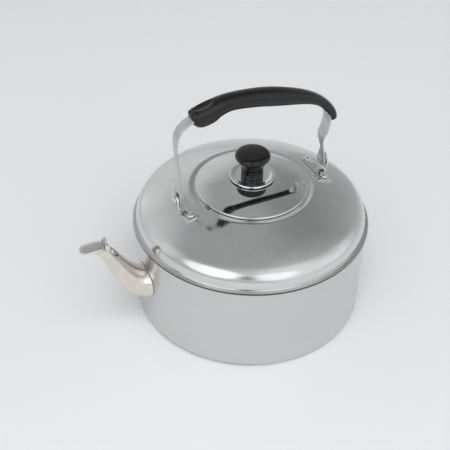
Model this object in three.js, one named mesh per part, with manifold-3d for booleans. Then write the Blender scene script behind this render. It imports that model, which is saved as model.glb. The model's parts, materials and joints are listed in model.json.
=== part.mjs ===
// Stovetop whistling kettle with a folding bail, a lift-off lid and a hinged whistle flap.
// Millimetres, +Z up. The origin is the centre of the base; the spout points along -X
// and the bail folds about the X axis, towards either side.
import * as THREE from "three";
import { mergeVertices } from "three/addons/utils/BufferGeometryUtils.js";
import Module from "manifold-3d";

const wasm = await Module();
wasm.setup();

// ---- driving sizes ----
const GAP = 0.3; // left between pieces that touch
const SHEET = 0.8; // body, dome, lid and spout sheet
const ROUND_SIDES = 48; // facets round the kettle's own axis
const SMALL_SIDES = 16; // facets round rivets, pins and tubes

const BODY_RADIUS = 118.6;
const BODY_HEIGHT = 101.8; // to the top of the wall's flange
const BASE_CORNER = 7;
const FLANGE = 0.8; // how far the wall's flange stands out under the seam

const DOME_INSET = 1.6; // the dome's side wall stands this far inside the body wall
const DOME_SIDE = 2.8; // height of the dome's upright side above the seam
const SHOULDER_RADIUS = 19;
const SHOULDER_SLOPE = 27; // degrees, where the shoulder meets the crown
const CROWN_SLOPE = 17.8; // degrees, at the lid recess
const CROWN_STEP = 14; // how far the slopes at the crown's two ends are kept
const CROWN_HEIGHT = 37; // from the seam to the crown's top edge
const RECESS_DEPTH = 1;
const NECK_DEPTH = 7.5;

const LID_RADIUS = 56.8;
const LID_MARGIN = 5.8; // from the lid's edge to the recess's outer edge
const LID_SEAT = 3.7; // how far the lid's edge stands over the filling hole's edge
const LID_EDGE = 2; // height of the lid's rolled edge
const LID_RISE = 9.5; // crown above the edge
const LID_FALL = 2.4; // how the crown falls away: 2 is a parabola, and more is steeper at the edge
const SKIRT_DEPTH = 11;
const SKIRT_FLANGE = 8;

const DISH_RADIUS = 22.9;
const DISH_HEIGHT = 2.4; // rim above the lid's crown
const DISH_RIM = 1.6;
const DISH_WELL_RADIUS = 8;
const KNOB_RADIUS = 17.6;
const KNOB_STEM_RADIUS = 11.2;
const KNOB_HEIGHT = 27.2;
const INSERT_RADIUS = 4;
const INSERT_LENGTH = 10;
const SCREW_RADIUS = 2;
const SCREW_HEAD_RADIUS = 4.5;
const SCREW_HEAD_HEIGHT = 2.2;
const LID_WASHER_RADIUS = 7;
const LID_WASHER_THICKNESS = 1;

const STRAP_THICKNESS = 2;
const PIVOT_OUT = 17.9; // from the lid's recess to the middle of the strap at each pivot
const PIVOT_RISE = 13.3; // pivot above the dome under it
const PIVOT_RADIUS = 2.6;
const PIVOT_HEAD_RADIUS = 4.6;
const PIVOT_HEAD_HEIGHT = 1.8;
const STRAP_END_RADIUS = 7;
const PIVOT_WASHER_THICKNESS = 0.5;
const PIVOT_WASHER_RADIUS = 6;

const BRACKET_THICKNESS = 1.6;
const RIVET_SPACING = 33;
const RIVET_MARGIN = 5.5; // from a rivet's middle to the bracket's end
const BRACKET_DEPTH = 16; // across the dome, from the bend inwards
const BRACKET_BEND = 4;
const EAR_WIDTH = 15;
const RIVET_INSET = 10.5; // rivet line inside the ear's outer face
const RIVET_RADIUS = 2;
const RIVET_HEAD_RADIUS = 3.8;
const RIVET_HEAD_HEIGHT = 2;

const SPOUT_BASE_Z = 58.5;
const SPOUT_RISE = 58.6; // mouth above the base's middle
const SPOUT_REACH = 52; // the spout's line outside the body wall
const STRAINER_HOLE_RADIUS = 3.6;
const STRAINER_PITCH = 10.5;
const STRAINER_OUTER_HOLES = 6;

const FLAP_HINGE_SETBACK = 1.31; // from the mouth's edge to the hinge pin, towards the flap
const FLAP_HINGE_RISE = 2.1; // hinge pin above the spout's mouth
const FLAP_OVERHANG = 7.4; // beyond the mouth's far edge
const FLAP_WIDTH = 15.8;
const FLAP_HEIGHT = 2.9;
const FLAP_LIFT = 0.4; // flap's rim above the mouth
const FLAP_SHEET = 0.7;
const FLAP_BARREL_RADIUS = 1.6;
const FLAP_BARREL_LENGTH = 8;
const TAB_HEIGHT = 5.6;
const TAB_WIDTH = 7.6;
const TAB_THICKNESS = 1.8;
const PLATE_THICKNESS = 0.5;
const PLATE_SPACING = 1;
const WHISTLE_HOLE_RADIUS = 2;
const PIN_RADIUS = 0.8;
const PIN_HEAD_RADIUS = 1.9;
const PIN_HEAD_HEIGHT = 1;
const LUG_THICKNESS = 1.2;
const LUG_RADIUS = 2.5;

// ---- sizes that follow from them ----
const NECK_RADIUS = LID_RADIUS - LID_SEAT; // clear radius of the filling hole
const RECESS_RADIUS = LID_RADIUS + LID_MARGIN; // outer edge of the recess round the lid
const PIVOT_X = RECESS_RADIUS + PIVOT_OUT; // middle of the strap at each pivot
const BRACKET_WIDTH = RIVET_SPACING + 2 * RIVET_MARGIN; // along Y, both rivets
const SPOUT_MOUTH_Z = SPOUT_BASE_Z + SPOUT_RISE;

// ---- finishes ----
const satinSteel = { color: 0xb9babb, roughness: 0.38, metalness: 1 };
const polishedSteel = { color: 0xd0d1d2, roughness: 0.12, metalness: 1 };
const chromed = { color: 0xdadcdd, roughness: 0.07, metalness: 1 };
const nickelled = { color: 0xcfc9be, roughness: 0.14, metalness: 1 };
const brass = { color: 0xb79a55, roughness: 0.35, metalness: 1 };
const phenolic = { color: 0x17171a, roughness: 0.32, metalness: 0 };

// ---- working with solids ----

// A closed geometry as a manifold-3d solid with its faces turned outwards.
function solidOf(geometry) {
  const bare = new THREE.BufferGeometry();
  bare.setAttribute("position", geometry.getAttribute("position"));
  bare.setIndex(geometry.getIndex());
  const merged = mergeVertices(bare, 1e-4);
  const corners = merged.getIndex().array;
  const faces = [];
  for (let i = 0; i < corners.length; i += 3) {
    const [a, b, c] = corners.slice(i, i + 3);
    if (a !== b && b !== c && c !== a) faces.push(a, b, c);
  }
  const build = (triVerts) =>
    new wasm.Manifold(
      new wasm.Mesh({
        numProp: 3,
        vertProperties: merged.getAttribute("position").array,
        triVerts: new Uint32Array(triVerts),
      }),
    );
  const made = build(faces);
  return made.volume() < 0 ? build(faces.reverse()) : made;
}

function geometryOf(solid) {
  const mesh = solid.getMesh();
  const geometry = new THREE.BufferGeometry();
  geometry.setAttribute("position", new THREE.BufferAttribute(mesh.vertProperties, 3));
  geometry.setIndex(new THREE.BufferAttribute(mesh.triVerts, 1));
  return geometry;
}

const kettle = new THREE.Group();

function addPiece(name, solid, finish) {
  const flat = geometryOf(solid).toNonIndexed();
  flat.computeVertexNormals();
  const mesh = new THREE.Mesh(flat, new THREE.MeshStandardMaterial(finish));
  mesh.name = name;
  kettle.add(mesh);
}

// A profile of [radius, z] points turned round the Z axis.
function turned(profile, sides = ROUND_SIDES) {
  const points = profile.map(([radius, z]) => new THREE.Vector2(radius, z));
  const onAxis = profile[0][0] === 0 && profile.at(-1)[0] === 0;
  if (!onAxis) points.push(points[0].clone());
  return solidOf(new THREE.LatheGeometry(points, sides).rotateX(Math.PI / 2));
}

// The closed outline of a sheet that lies on the left of a path of [radius, z] points.
function sheetProfile(path, thickness = SHEET) {
  const points = path.map(([radius, z]) => new THREE.Vector2(radius, z));
  const normals = points.slice(1).map((point, i) => {
    const along = point.clone().sub(points[i]).normalize();
    return new THREE.Vector2(-along.y, along.x);
  });
  const offset = points.map((point, i) => {
    const before = normals[Math.max(i - 1, 0)];
    const after = normals[Math.min(i, normals.length - 1)];
    const mitre = before.clone().add(after).divideScalar(1 + before.dot(after));
    return point.clone().addScaledVector(mitre, thickness);
  });
  return [...points, ...offset.reverse()].map((point) => [point.x, point.y]);
}

// Points of an arc from one angle to another, in degrees.
function arc([radius, z], size, from, to, steps) {
  return Array.from({ length: steps + 1 }, (_, i) => {
    const angle = THREE.MathUtils.degToRad(from + ((to - from) * i) / steps);
    return [radius + size * Math.cos(angle), z + size * Math.sin(angle)];
  });
}

// Height of a path of [radius, z] points at a radius, with the radius falling along it.
function heightOn(path, radius) {
  const i = path.findIndex((point, k) => k > 0 && point[0] <= radius && path[k - 1][0] > radius);
  const [r0, z0] = path[i - 1];
  const [r1, z1] = path[i];
  return z0 + ((z1 - z0) * (r0 - radius)) / (r0 - r1);
}

// A solid skinned over rings of points. Every ring has the same count and is convex.
function skinned(rings) {
  const count = rings[0].length;
  const positions = rings.flat().flatMap((point) => [point.x, point.y, point.z]);
  const faces = [];
  for (let k = 0; k < rings.length - 1; k += 1) {
    for (let i = 0; i < count; i += 1) {
      const next = (i + 1) % count;
      const [a, b] = [k * count + i, k * count + next];
      faces.push(a, b, b + count, a, b + count, a + count);
    }
  }
  const last = (rings.length - 1) * count;
  for (let i = 1; i < count - 1; i += 1) {
    faces.push(0, i + 1, i, last, last + i, last + i + 1);
  }
  const geometry = new THREE.BufferGeometry();
  geometry.setAttribute("position", new THREE.Float32BufferAttribute(positions, 3));
  geometry.setIndex(faces);
  return solidOf(geometry);
}

// Stations along a smooth line in the XZ plane. Each control row is [x, z, ...sizes].
function stations(rows, steps) {
  const centres = new THREE.CatmullRomCurve3(
    rows.map(([x, z]) => new THREE.Vector3(x, 0, z)),
    false,
    "centripetal",
  );
  const sizes = new THREE.CatmullRomCurve3(
    rows.map(([, , high, wide = high]) => new THREE.Vector3(high, wide, 0)),
    false,
    "centripetal",
  );
  return Array.from({ length: steps + 1 }, (_, i) => {
    const centre = centres.getPoint(i / steps);
    const along = centres.getTangent(i / steps);
    const size = sizes.getPoint(i / steps);
    return { centre, across: new THREE.Vector3(-along.z, 0, along.x), high: size.x, wide: size.y };
  });
}

const SIDEWAYS = new THREE.Vector3(0, 1, 0);

function ovalRing({ centre, across, high, wide }, grow = 0, sides = SMALL_SIDES) {
  return Array.from({ length: sides }, (_, i) => {
    const angle = (2 * Math.PI * i) / sides;
    return centre
      .clone()
      .addScaledVector(across, (high + grow) * Math.cos(angle))
      .addScaledVector(SIDEWAYS, (wide + grow) * Math.sin(angle));
  });
}

function flatRing({ centre, across, high, wide }, grow = 0) {
  const corners = [[1, 1], [-1, 1], [-1, -1], [1, -1]];
  return corners.map(([up, side]) =>
    centre
      .clone()
      .addScaledVector(across, up * (high + grow))
      .addScaledVector(SIDEWAYS, side * (wide + grow)),
  );
}

// A round bar along an axis from one point to another.
function rod(from, to, radius, sides = SMALL_SIDES) {
  const start = new THREE.Vector3(...from);
  const along = new THREE.Vector3(...to).sub(start);
  const geometry = new THREE.CylinderGeometry(radius, radius, along.length(), sides);
  geometry.translate(0, along.length() / 2, 0);
  const turn = new THREE.Quaternion().setFromUnitVectors(SIDEWAYS, along.clone().normalize());
  return solidOf(geometry.applyQuaternion(turn).translate(...start.toArray()));
}

// A shape in the XY plane raised between two heights.
function prism(shape, bottom, top, curveSegments = 8) {
  const options = { depth: top - bottom, bevelEnabled: false, curveSegments };
  return new THREE.ExtrudeGeometry(shape, options).translate(0, 0, bottom);
}

// A rivet turned about its own axis: the head's seat is at zero and the shank hangs down.
function rivetGeometry(shank, headRadius, headHeight, grip) {
  const tailRadius = headRadius * 0.75;
  const tailHeight = headHeight * 0.6;
  const head = arc([0, 0], 1, 0, 90, 4).map(([x, y]) => [x * headRadius, y * headHeight]);
  head[head.length - 1][0] = 0;
  const profile = [
    [0, -grip - tailHeight],
    [tailRadius * 0.7, -grip - tailHeight],
    [tailRadius, -grip - tailHeight * 0.4],
    [tailRadius, -grip],
    [shank, -grip],
    [shank, 0],
    ...head,
  ];
  const points = profile.map(([radius, z]) => new THREE.Vector2(radius, z));
  return new THREE.LatheGeometry(points, SMALL_SIDES).rotateX(Math.PI / 2);
}

// ---- body and dome ----

const seamTop = BODY_HEIGHT + GAP + SHEET;
const seamRadius = BODY_RADIUS + FLANGE + GAP + SHEET;

function bodyPath() {
  const flangeZ = BODY_HEIGHT - SHEET;
  return [
    [0, 0],
    ...arc([BODY_RADIUS - BASE_CORNER, BASE_CORNER], BASE_CORNER, -90, 0, 6),
    [BODY_RADIUS, flangeZ],
    [BODY_RADIUS + FLANGE, flangeZ],
  ];
}

// The dome's outer face, from the return that wraps the body's flange to the neck's end.
function domePath() {
  const round = 0.6; // corners of the rolled seam
  const side = BODY_RADIUS - DOME_INSET;
  const fillet = 1;
  const returnZ = BODY_HEIGHT - 2 * SHEET - GAP;
  const shoulder = arc(
    [side - SHOULDER_RADIUS, seamTop + DOME_SIDE],
    SHOULDER_RADIUS, 0, 90 - SHOULDER_SLOPE, 5,
  );
  const crownEdge = new THREE.Vector2(RECESS_RADIUS, seamTop + CROWN_HEIGHT);
  const crown = new THREE.CubicBezierCurve(
    new THREE.Vector2(...shoulder.at(-1)),
    new THREE.Vector2(...shoulder.at(-1)).add(slopeStep(SHOULDER_SLOPE, CROWN_STEP)),
    crownEdge.clone().sub(slopeStep(CROWN_SLOPE, CROWN_STEP)),
    crownEdge,
  );
  const seatZ = crownEdge.y - RECESS_DEPTH;
  return [
    [BODY_RADIUS + GAP, returnZ],
    [seamRadius - round, returnZ],
    [seamRadius, returnZ + round],
    [seamRadius, seamTop - round],
    [seamRadius - round, seamTop],
    [side + fillet, seamTop],
    [side, seamTop + fillet],
    ...shoulder,
    ...crown.getPoints(5).slice(1).map((point) => point.toArray()),
    [RECESS_RADIUS - 1, seatZ + 0.8 * RECESS_DEPTH],
    [RECESS_RADIUS - 2.6, seatZ],
    [NECK_RADIUS + round, seatZ],
    [NECK_RADIUS, seatZ - round],
    [NECK_RADIUS, seatZ - NECK_DEPTH],
  ];
}

// A step inwards and up a slope.
function slopeStep(degrees, length) {
  const angle = THREE.MathUtils.degToRad(degrees);
  return new THREE.Vector2(-Math.cos(angle) * length, Math.sin(angle) * length);
}

const domeFace = domePath();
const seatZ = seamTop + CROWN_HEIGHT - RECESS_DEPTH;
const pivotZ = heightOn(domeFace, PIVOT_X) + PIVOT_RISE;
const strapFace = PIVOT_X + STRAP_THICKNESS / 2;
const earInner = strapFace + PIVOT_WASHER_THICKNESS + 2 * GAP;
const earOuter = earInner + BRACKET_THICKNESS;
const rivetX = earOuter - RIVET_INSET;
const ENDS = [["front", -1], ["rear", 1]];
const SIDES = [["left", 1], ["right", -1]];

// Places a rivet on the dome, square to its face, at the middle of the bracket's hole.
function rivetPlacement(end, side) {
  const y = (side * RIVET_SPACING) / 2;
  const radius = Math.hypot(rivetX, y);
  const step = 1;
  const fall = heightOn(domeFace, radius - step) - heightOn(domeFace, radius + step);
  const outwards = new THREE.Vector3(end * rivetX, y, 0).divideScalar(radius);
  const normal = outwards.clone().multiplyScalar(fall).setZ(2 * step).normalize();
  const foot = new THREE.Vector3(end * rivetX, y, heightOn(domeFace, radius));
  const turn = new THREE.Quaternion().setFromUnitVectors(new THREE.Vector3(0, 0, 1), normal);
  return { foot, normal, turn };
}

const rivetSeat = BRACKET_THICKNESS + 2.4 * GAP; // head's underside above the dome's face

function rivetHole(end, side) {
  const { foot, normal } = rivetPlacement(end, side);
  const reach = 8;
  const bottom = foot.clone().addScaledVector(normal, -reach);
  const top = foot.clone().addScaledVector(normal, reach);
  return rod(bottom.toArray(), top.toArray(), RIVET_RADIUS + GAP);
}

// The spout's line: share of its reach outside the wall, share of its rise, and its radius.
const spoutRows = [
  [-0.235, -0.021, 20.4],
  [-0.039, -0.011, 19.6],
  [0.161, 0.056, 16.4],
  [0.298, 0.172, 13.6],
  [0.439, 0.357, 11],
  [0.569, 0.574, 9],
  [0.714, 0.809, 7.4],
  [0.824, 0.932, 6.8],
  [0.922, 1.026, 7.8],
  [1, 1.13, 9.6],
].map(([out, up, radius]) => [
  -BODY_RADIUS - out * SPOUT_REACH,
  SPOUT_BASE_Z + up * SPOUT_RISE,
  radius,
]);
const spoutStations = stations(spoutRows, 20);

function buildBody() {
  const strainer = [[0, 0]];
  for (let i = 0; i < STRAINER_OUTER_HOLES; i += 1) {
    const angle = (2 * Math.PI * i) / STRAINER_OUTER_HOLES;
    strainer.push([STRAINER_PITCH * Math.cos(angle), STRAINER_PITCH * Math.sin(angle)]);
  }
  let body = turned(sheetProfile(bodyPath()));
  const reach = 5;
  for (const [y, up] of strainer) {
    const from = [-BODY_RADIUS - reach, y, SPOUT_BASE_Z + up];
    const to = [-BODY_RADIUS + reach, y, SPOUT_BASE_Z + up];
    body = body.subtract(rod(from, to, STRAINER_HOLE_RADIUS, 12));
  }
  addPiece("body_shell", body, satinSteel);
}

function buildDome() {
  let dome = turned(sheetProfile(domeFace));
  for (const [, end] of ENDS) {
    for (const [, side] of SIDES) dome = dome.subtract(rivetHole(end, side));
  }
  addPiece("dome_shell", dome, polishedSteel);
}

// ---- spout ----

function aboveMouth(lift) {
  const block = new THREE.BoxGeometry(200, 200, 100);
  return solidOf(block.translate(-BODY_RADIUS, 0, SPOUT_MOUTH_Z + lift + 50));
}

function spoutSolid(grow) {
  return skinned(spoutStations.map((station) => ovalRing(station, grow, 20)));
}

function bodyCylinder(radius) {
  return turned([[0, -10], [radius, -10], [radius, BODY_HEIGHT], [0, BODY_HEIGHT]]);
}

function buildSpout() {
  const spout = spoutSolid(0)
    .subtract(spoutSolid(-SHEET))
    .subtract(bodyCylinder(BODY_RADIUS + GAP))
    .subtract(aboveMouth(0));
  addPiece("spout", spout, nickelled);
}

// Where the spout's outer face reaches the mouth: side 1 is the far edge, -1 the body's.
function mouthEdge(side) {
  const face = spoutStations.map(({ centre, across, high }) =>
    centre.clone().addScaledVector(across, side * high),
  );
  const i = face.findIndex((point, k) => k > 0 && face[k - 1].z <= SPOUT_MOUTH_Z && point.z > SPOUT_MOUTH_Z);
  const share = (SPOUT_MOUTH_Z - face[i - 1].z) / (face[i].z - face[i - 1].z);
  return THREE.MathUtils.lerp(face[i - 1].x, face[i].x, share);
}

const hinge = { x: mouthEdge(-1) - FLAP_HINGE_SETBACK, z: SPOUT_MOUTH_Z + FLAP_HINGE_RISE };

function buildHingeBracket() {
  const inner = FLAP_BARREL_LENGTH / 2 + GAP;
  const shape = new THREE.Shape();
  const footX = hinge.x + LUG_RADIUS + 6.5;
  shape.moveTo(hinge.x - LUG_RADIUS, hinge.z);
  shape.absarc(hinge.x, hinge.z, LUG_RADIUS, Math.PI, 0, true);
  shape.lineTo(footX, hinge.z - 9);
  shape.lineTo(hinge.x - LUG_RADIUS, hinge.z - 9);
  const width = 2 * (inner + LUG_THICKNESS);
  const whole = solidOf(prism(shape, -width / 2, width / 2).rotateX(Math.PI / 2));
  const slot = new THREE.BoxGeometry(30, 2 * inner, 30);
  const slotBottom = hinge.z - FLAP_BARREL_RADIUS - 2 * GAP;
  const bracket = whole
    .subtract(solidOf(slot.translate(hinge.x, 0, slotBottom + 15)))
    .subtract(spoutSolid(GAP).subtract(aboveMouth(GAP)))
    .subtract(rod([hinge.x, -width, hinge.z], [hinge.x, width, hinge.z], PIN_RADIUS + GAP, 12));
  addPiece("flap_hinge_bracket", bracket, nickelled);
}

function buildHingePin() {
  const reach = FLAP_BARREL_LENGTH / 2 + 2 * GAP + LUG_THICKNESS;
  const pin = rod([hinge.x, -reach, hinge.z], [hinge.x, reach, hinge.z], PIN_RADIUS, 12);
  const heads = SIDES.map(([, side]) => {
    const top = side * (reach + PIN_HEAD_HEIGHT);
    return rod([hinge.x, side * reach, hinge.z], [hinge.x, top, hinge.z], PIN_HEAD_RADIUS);
  });
  addPiece("flap_hinge_pin", pin.add(heads[0]).add(heads[1]), nickelled);
}

// ---- whistle flap ----

function flapShape(inset) {
  const radius = FLAP_WIDTH / 2;
  const rear = hinge.x - FLAP_BARREL_RADIUS - GAP;
  const frontCentre = mouthEdge(1) - FLAP_OVERHANG + radius;
  const rearCentre = rear - radius;
  const shape = new THREE.Shape();
  shape.absarc(rearCentre, 0, radius - inset, -Math.PI / 2, Math.PI / 2, false);
  shape.absarc(frontCentre, 0, radius - inset, Math.PI / 2, (3 * Math.PI) / 2, false);
  return shape;
}

const flapBottom = SPOUT_MOUTH_Z + FLAP_LIFT;
const flapTop = flapBottom + FLAP_HEIGHT;

function buildFlap() {
  const cover = solidOf(prism(flapShape(0), flapBottom, flapTop));
  const hollow = solidOf(prism(flapShape(FLAP_SHEET), flapBottom - 1, flapTop - FLAP_SHEET));
  const half = FLAP_BARREL_LENGTH / 2;
  const barrel = rod([hinge.x, -half, hinge.z], [hinge.x, half, hinge.z], FLAP_BARREL_RADIUS, 16);
  const bore = rod([hinge.x, -2 * half, hinge.z], [hinge.x, 2 * half, hinge.z], PIN_RADIUS + GAP / 2, 12);
  const armLength = FLAP_BARREL_RADIUS + GAP + FLAP_SHEET / 2;
  const arm = new THREE.BoxGeometry(armLength, TAB_WIDTH, 1.2);
  arm.translate(hinge.x - armLength / 2, 0, hinge.z + 1);
  const tab = new THREE.BoxGeometry(TAB_THICKNESS, TAB_WIDTH, TAB_HEIGHT);
  tab.translate(hinge.x, 0, hinge.z + TAB_HEIGHT / 2);
  const flap = cover
    .subtract(hollow)
    .add(barrel)
    .add(solidOf(arm))
    .add(solidOf(tab))
    .subtract(bore);
  addPiece("whistle_flap", flap, nickelled);
}

function buildWhistlePlates() {
  const holeX = hinge.x - FLAP_BARREL_RADIUS - GAP - FLAP_WIDTH / 2;
  ["lower", "upper"].forEach((name, i) => {
    const bottom = flapBottom + GAP + i * PLATE_SPACING;
    const plate = solidOf(prism(flapShape(FLAP_SHEET + GAP), bottom, bottom + PLATE_THICKNESS, 6));
    const hole = rod([holeX, 0, bottom - 1], [holeX, 0, bottom + 2], WHISTLE_HOLE_RADIUS, 16);
    addPiece("whistle_plate_" + name, plate.subtract(hole), brass);
  });
}

// ---- bail ----

function buildBrackets() {
  for (const [name, end] of ENDS) {
    const foot = domeFace.filter(([radius]) => radius > RECESS_RADIUS - 1 && radius < BODY_RADIUS - 8);
    const lower = foot.map(([radius, z]) => [radius, z + GAP]);
    const upper = foot.map(([radius, z]) => [radius, z + GAP + BRACKET_THICKNESS]);
    const saddle = turned([...lower, ...upper.reverse()]);
    const outline = new THREE.Shape();
    const inner = earOuter - BRACKET_DEPTH;
    const outer = earOuter - BRACKET_BEND + 1;
    const half = BRACKET_WIDTH / 2;
    const corner = 4;
    outline.moveTo(outer, -half);
    outline.lineTo(outer, half);
    outline.lineTo(inner + corner, half);
    outline.absarc(inner + corner, half - corner, corner, Math.PI / 2, Math.PI, false);
    outline.absarc(inner + corner, corner - half, corner, Math.PI, (3 * Math.PI) / 2, false);
    const strip = saddle.intersect(solidOf(prism(outline, 0, pivotZ + 50, 4)));

    const bendX = earOuter - BRACKET_BEND;
    const bendZ = heightOn(domeFace, bendX) + GAP + BRACKET_BEND;
    const side = new THREE.Shape();
    const top = pivotZ + EAR_WIDTH;
    side.moveTo(earOuter, top);
    side.lineTo(earInner, top);
    side.absarc(bendX, bendZ, BRACKET_BEND - BRACKET_THICKNESS, 0, -Math.PI / 2, true);
    side.lineTo(bendX - 1, bendZ - BRACKET_BEND + BRACKET_THICKNESS);
    side.lineTo(bendX - 1, bendZ - BRACKET_BEND + 0.4);
    side.absarc(bendX, bendZ, BRACKET_BEND, -Math.PI / 2 + 0.1, 0, false);
    const plate = solidOf(prism(side, -EAR_WIDTH / 2, EAR_WIDTH / 2, 5).rotateX(Math.PI / 2));
    const round = new THREE.Shape();
    round.moveTo(-EAR_WIDTH / 2, 0);
    round.lineTo(EAR_WIDTH / 2, 0);
    round.absarc(0, pivotZ, EAR_WIDTH / 2, 0, Math.PI, false);
    const across = prism(round, 0, earOuter + 5, 10).rotateX(Math.PI / 2).rotateZ(Math.PI / 2);
    const ear = plate.intersect(solidOf(across));

    let bracket = strip.add(ear);
    bracket = bracket.subtract(rod([0, 0, pivotZ], [earOuter + 5, 0, pivotZ], PIVOT_RADIUS + GAP));
    if (end < 0) bracket = bracket.mirror([1, 0, 0]);
    for (const [, sideSign] of SIDES) bracket = bracket.subtract(rivetHole(end, sideSign));
    addPiece("bracket_" + name, bracket, polishedSteel);
  }
}

function buildRivets() {
  for (const [name, end] of ENDS) {
    for (const [sideName, side] of SIDES) {
      const { foot, normal, turn } = rivetPlacement(end, side);
      const grip = rivetSeat + SHEET + 1.5 * GAP;
      const geometry = rivetGeometry(RIVET_RADIUS, RIVET_HEAD_RADIUS, RIVET_HEAD_HEIGHT, grip);
      geometry.applyQuaternion(turn);
      geometry.translate(...foot.clone().addScaledVector(normal, rivetSeat).toArray());
      addPiece(`bracket_rivet_${name}_${sideName}`, solidOf(geometry), polishedSteel);
    }
    const pivotGrip = earOuter + GAP - (PIVOT_X - STRAP_THICKNESS / 2 - GAP);
    const pivot = rivetGeometry(PIVOT_RADIUS, PIVOT_HEAD_RADIUS, PIVOT_HEAD_HEIGHT, pivotGrip);
    pivot.rotateY((end * Math.PI) / 2).translate(end * (earOuter + GAP), 0, pivotZ);
    addPiece("pivot_rivet_" + name, solidOf(pivot), polishedSteel);

    const washerFrom = strapFace + GAP;
    const washerTo = washerFrom + PIVOT_WASHER_THICKNESS;
    const onAxis = (x) => [end * x, 0, pivotZ];
    const washer = rod(onAxis(washerFrom), onAxis(washerTo), PIVOT_WASHER_RADIUS);
    const hole = rod(onAxis(washerFrom - 1), onAxis(washerTo + 1), PIVOT_RADIUS + GAP);
    addPiece("pivot_washer_" + name, washer.subtract(hole), polishedSteel);
  }
}

// The strap's line: share of PIVOT_X, height above the pivots, and half its width.
const halfThickness = STRAP_THICKNESS / 2;
const strapRows = [
  [-1, 0, 7],
  [-1, 14, 4.9],
  [-0.995, 30, 4.2],
  [-1.01, 47, 2.8],
  [-1.022, 61, 3.6],
  [-1.01, 72, 5.2],
  [-0.95, 80.5, 6],
  [-0.81, 87.5, 6],
  [-0.62, 92.5, 6],
  [-0.33, 96, 6],
  [0, 93.9, 6],
  [0.36, 87.6, 6],
  [0.65, 80.5, 6],
  [0.86, 72.5, 6],
  [0.985, 62, 6],
  [1.025, 50, 6.8],
  [1.0, 38, 7.2],
  [0.963, 29.5, 6.2],
  [0.972, 22, 3.4],
  [0.992, 15.5, 2.4],
  [1, 9, 4.6],
  [1, 0, 7],
].map(([share, up, half]) => [share * PIVOT_X, pivotZ + up, halfThickness, half]);
const strapStations = stations(strapRows, 60);

function roundEnd(station, order) {
  return order.map((degrees) => {
    const angle = THREE.MathUtils.degToRad(degrees);
    const centre = station.centre.clone().setZ(pivotZ - STRAP_END_RADIUS * Math.sin(angle));
    const across = new THREE.Vector3(Math.sign(station.across.x), 0, 0);
    return { centre, across, high: halfThickness, wide: STRAP_END_RADIUS * Math.cos(angle) };
  });
}

function buildStrap() {
  const first = strapStations[0];
  const last = strapStations.at(-1);
  const all = [
    ...roundEnd(first, [84, 70, 50, 30, 12]),
    ...strapStations,
    ...roundEnd(last, [12, 30, 50, 70, 84]),
  ];
  let strap = skinned(all.map((station) => flatRing(station)));
  const holes = rod([-PIVOT_X - 5, 0, pivotZ], [PIVOT_X + 5, 0, pivotZ], PIVOT_RADIUS + GAP);
  strap = strap.subtract(holes);
  addPiece("bail_strap", strap, polishedSteel);
}

// The grip's line: share of PIVOT_X, height above the pivots, half its height and width.
const gripRows = [
  [-0.825, 88.5, 5, 7.8],
  [-0.78, 88.8, 8.4, 9],
  [-0.7, 88.6, 10.6, 9.8],
  [-0.61, 90.2, 10.8, 10],
  [-0.49, 94, 9, 9.6],
  [-0.33, 96.2, 8.1, 9.2],
  [0, 93.9, 8.7, 9.6],
  [0.19, 91, 9, 9.8],
  [0.36, 87.8, 8.6, 9.6],
  [0.55, 83.8, 7.6, 9],
  [0.73, 79, 6.2, 8.5],
  [0.87, 73.2, 5.2, 8.1],
  [0.98, 65.5, 5, 8],
  [1.055, 56.5, 5.4, 8],
  [1.08, 49, 5.2, 7.8],
].map(([share, up, high, wide]) => [share * PIVOT_X, pivotZ + up, high, wide]);
const gripStations = stations(gripRows, 30);

function buildGrip() {
  const outer = skinned(gripStations.map((station) => ovalRing(station)));
  const bore = skinned(strapStations.map((station) => flatRing(station, GAP)));
  addPiece("bail_grip", outer.subtract(bore), phenolic);
}

// ---- lid ----

const lidEdgeZ = seatZ + GAP + LID_EDGE;
const lidTopZ = lidEdgeZ + LID_RISE;
const screwHole = SCREW_RADIUS + GAP;

// Height of the lid's outer face, which is flat under the knob's dish and falls from there.
function lidHeight(radius) {
  const share = Math.max(radius - DISH_WELL_RADIUS, 0) / (LID_RADIUS - DISH_WELL_RADIUS);
  return lidTopZ - LID_RISE * share ** LID_FALL;
}

function buildLid() {
  const rolled = 1.2;
  const steps = 6;
  const crownRadii = Array.from({ length: steps + 1 }, (_, i) =>
    THREE.MathUtils.lerp(LID_RADIUS - 2 * rolled, DISH_WELL_RADIUS, i / steps),
  );
  const path = [
    [LID_RADIUS - 3 * rolled + 0.8, seatZ + GAP],
    [LID_RADIUS - rolled + 0.2, seatZ + GAP],
    [LID_RADIUS, seatZ + GAP + rolled],
    [LID_RADIUS - 0.5, lidHeight(LID_RADIUS) - 0.5],
    ...[...crownRadii, screwHole].map((radius) => [radius, lidHeight(radius)]),
  ];
  addPiece("lid_shell", turned(sheetProfile(path)), polishedSteel);
}

function buildSkirt() {
  const outer = NECK_RADIUS - 2 * GAP;
  const under = (radius) => lidHeight(radius) - SHEET - 1.5 * GAP;
  const radii = [outer, outer - SKIRT_FLANGE / 2, outer - SKIRT_FLANGE];
  const path = [
    [outer, seatZ - SKIRT_DEPTH],
    ...radii.map((radius) => [radius, under(radius)]),
  ];
  addPiece("lid_skirt", turned(sheetProfile(path)), satinSteel);
}

const dishZ = lidTopZ + DISH_HEIGHT; // top of the dish's rim
const knobZ = dishZ - 0.8;

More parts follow.
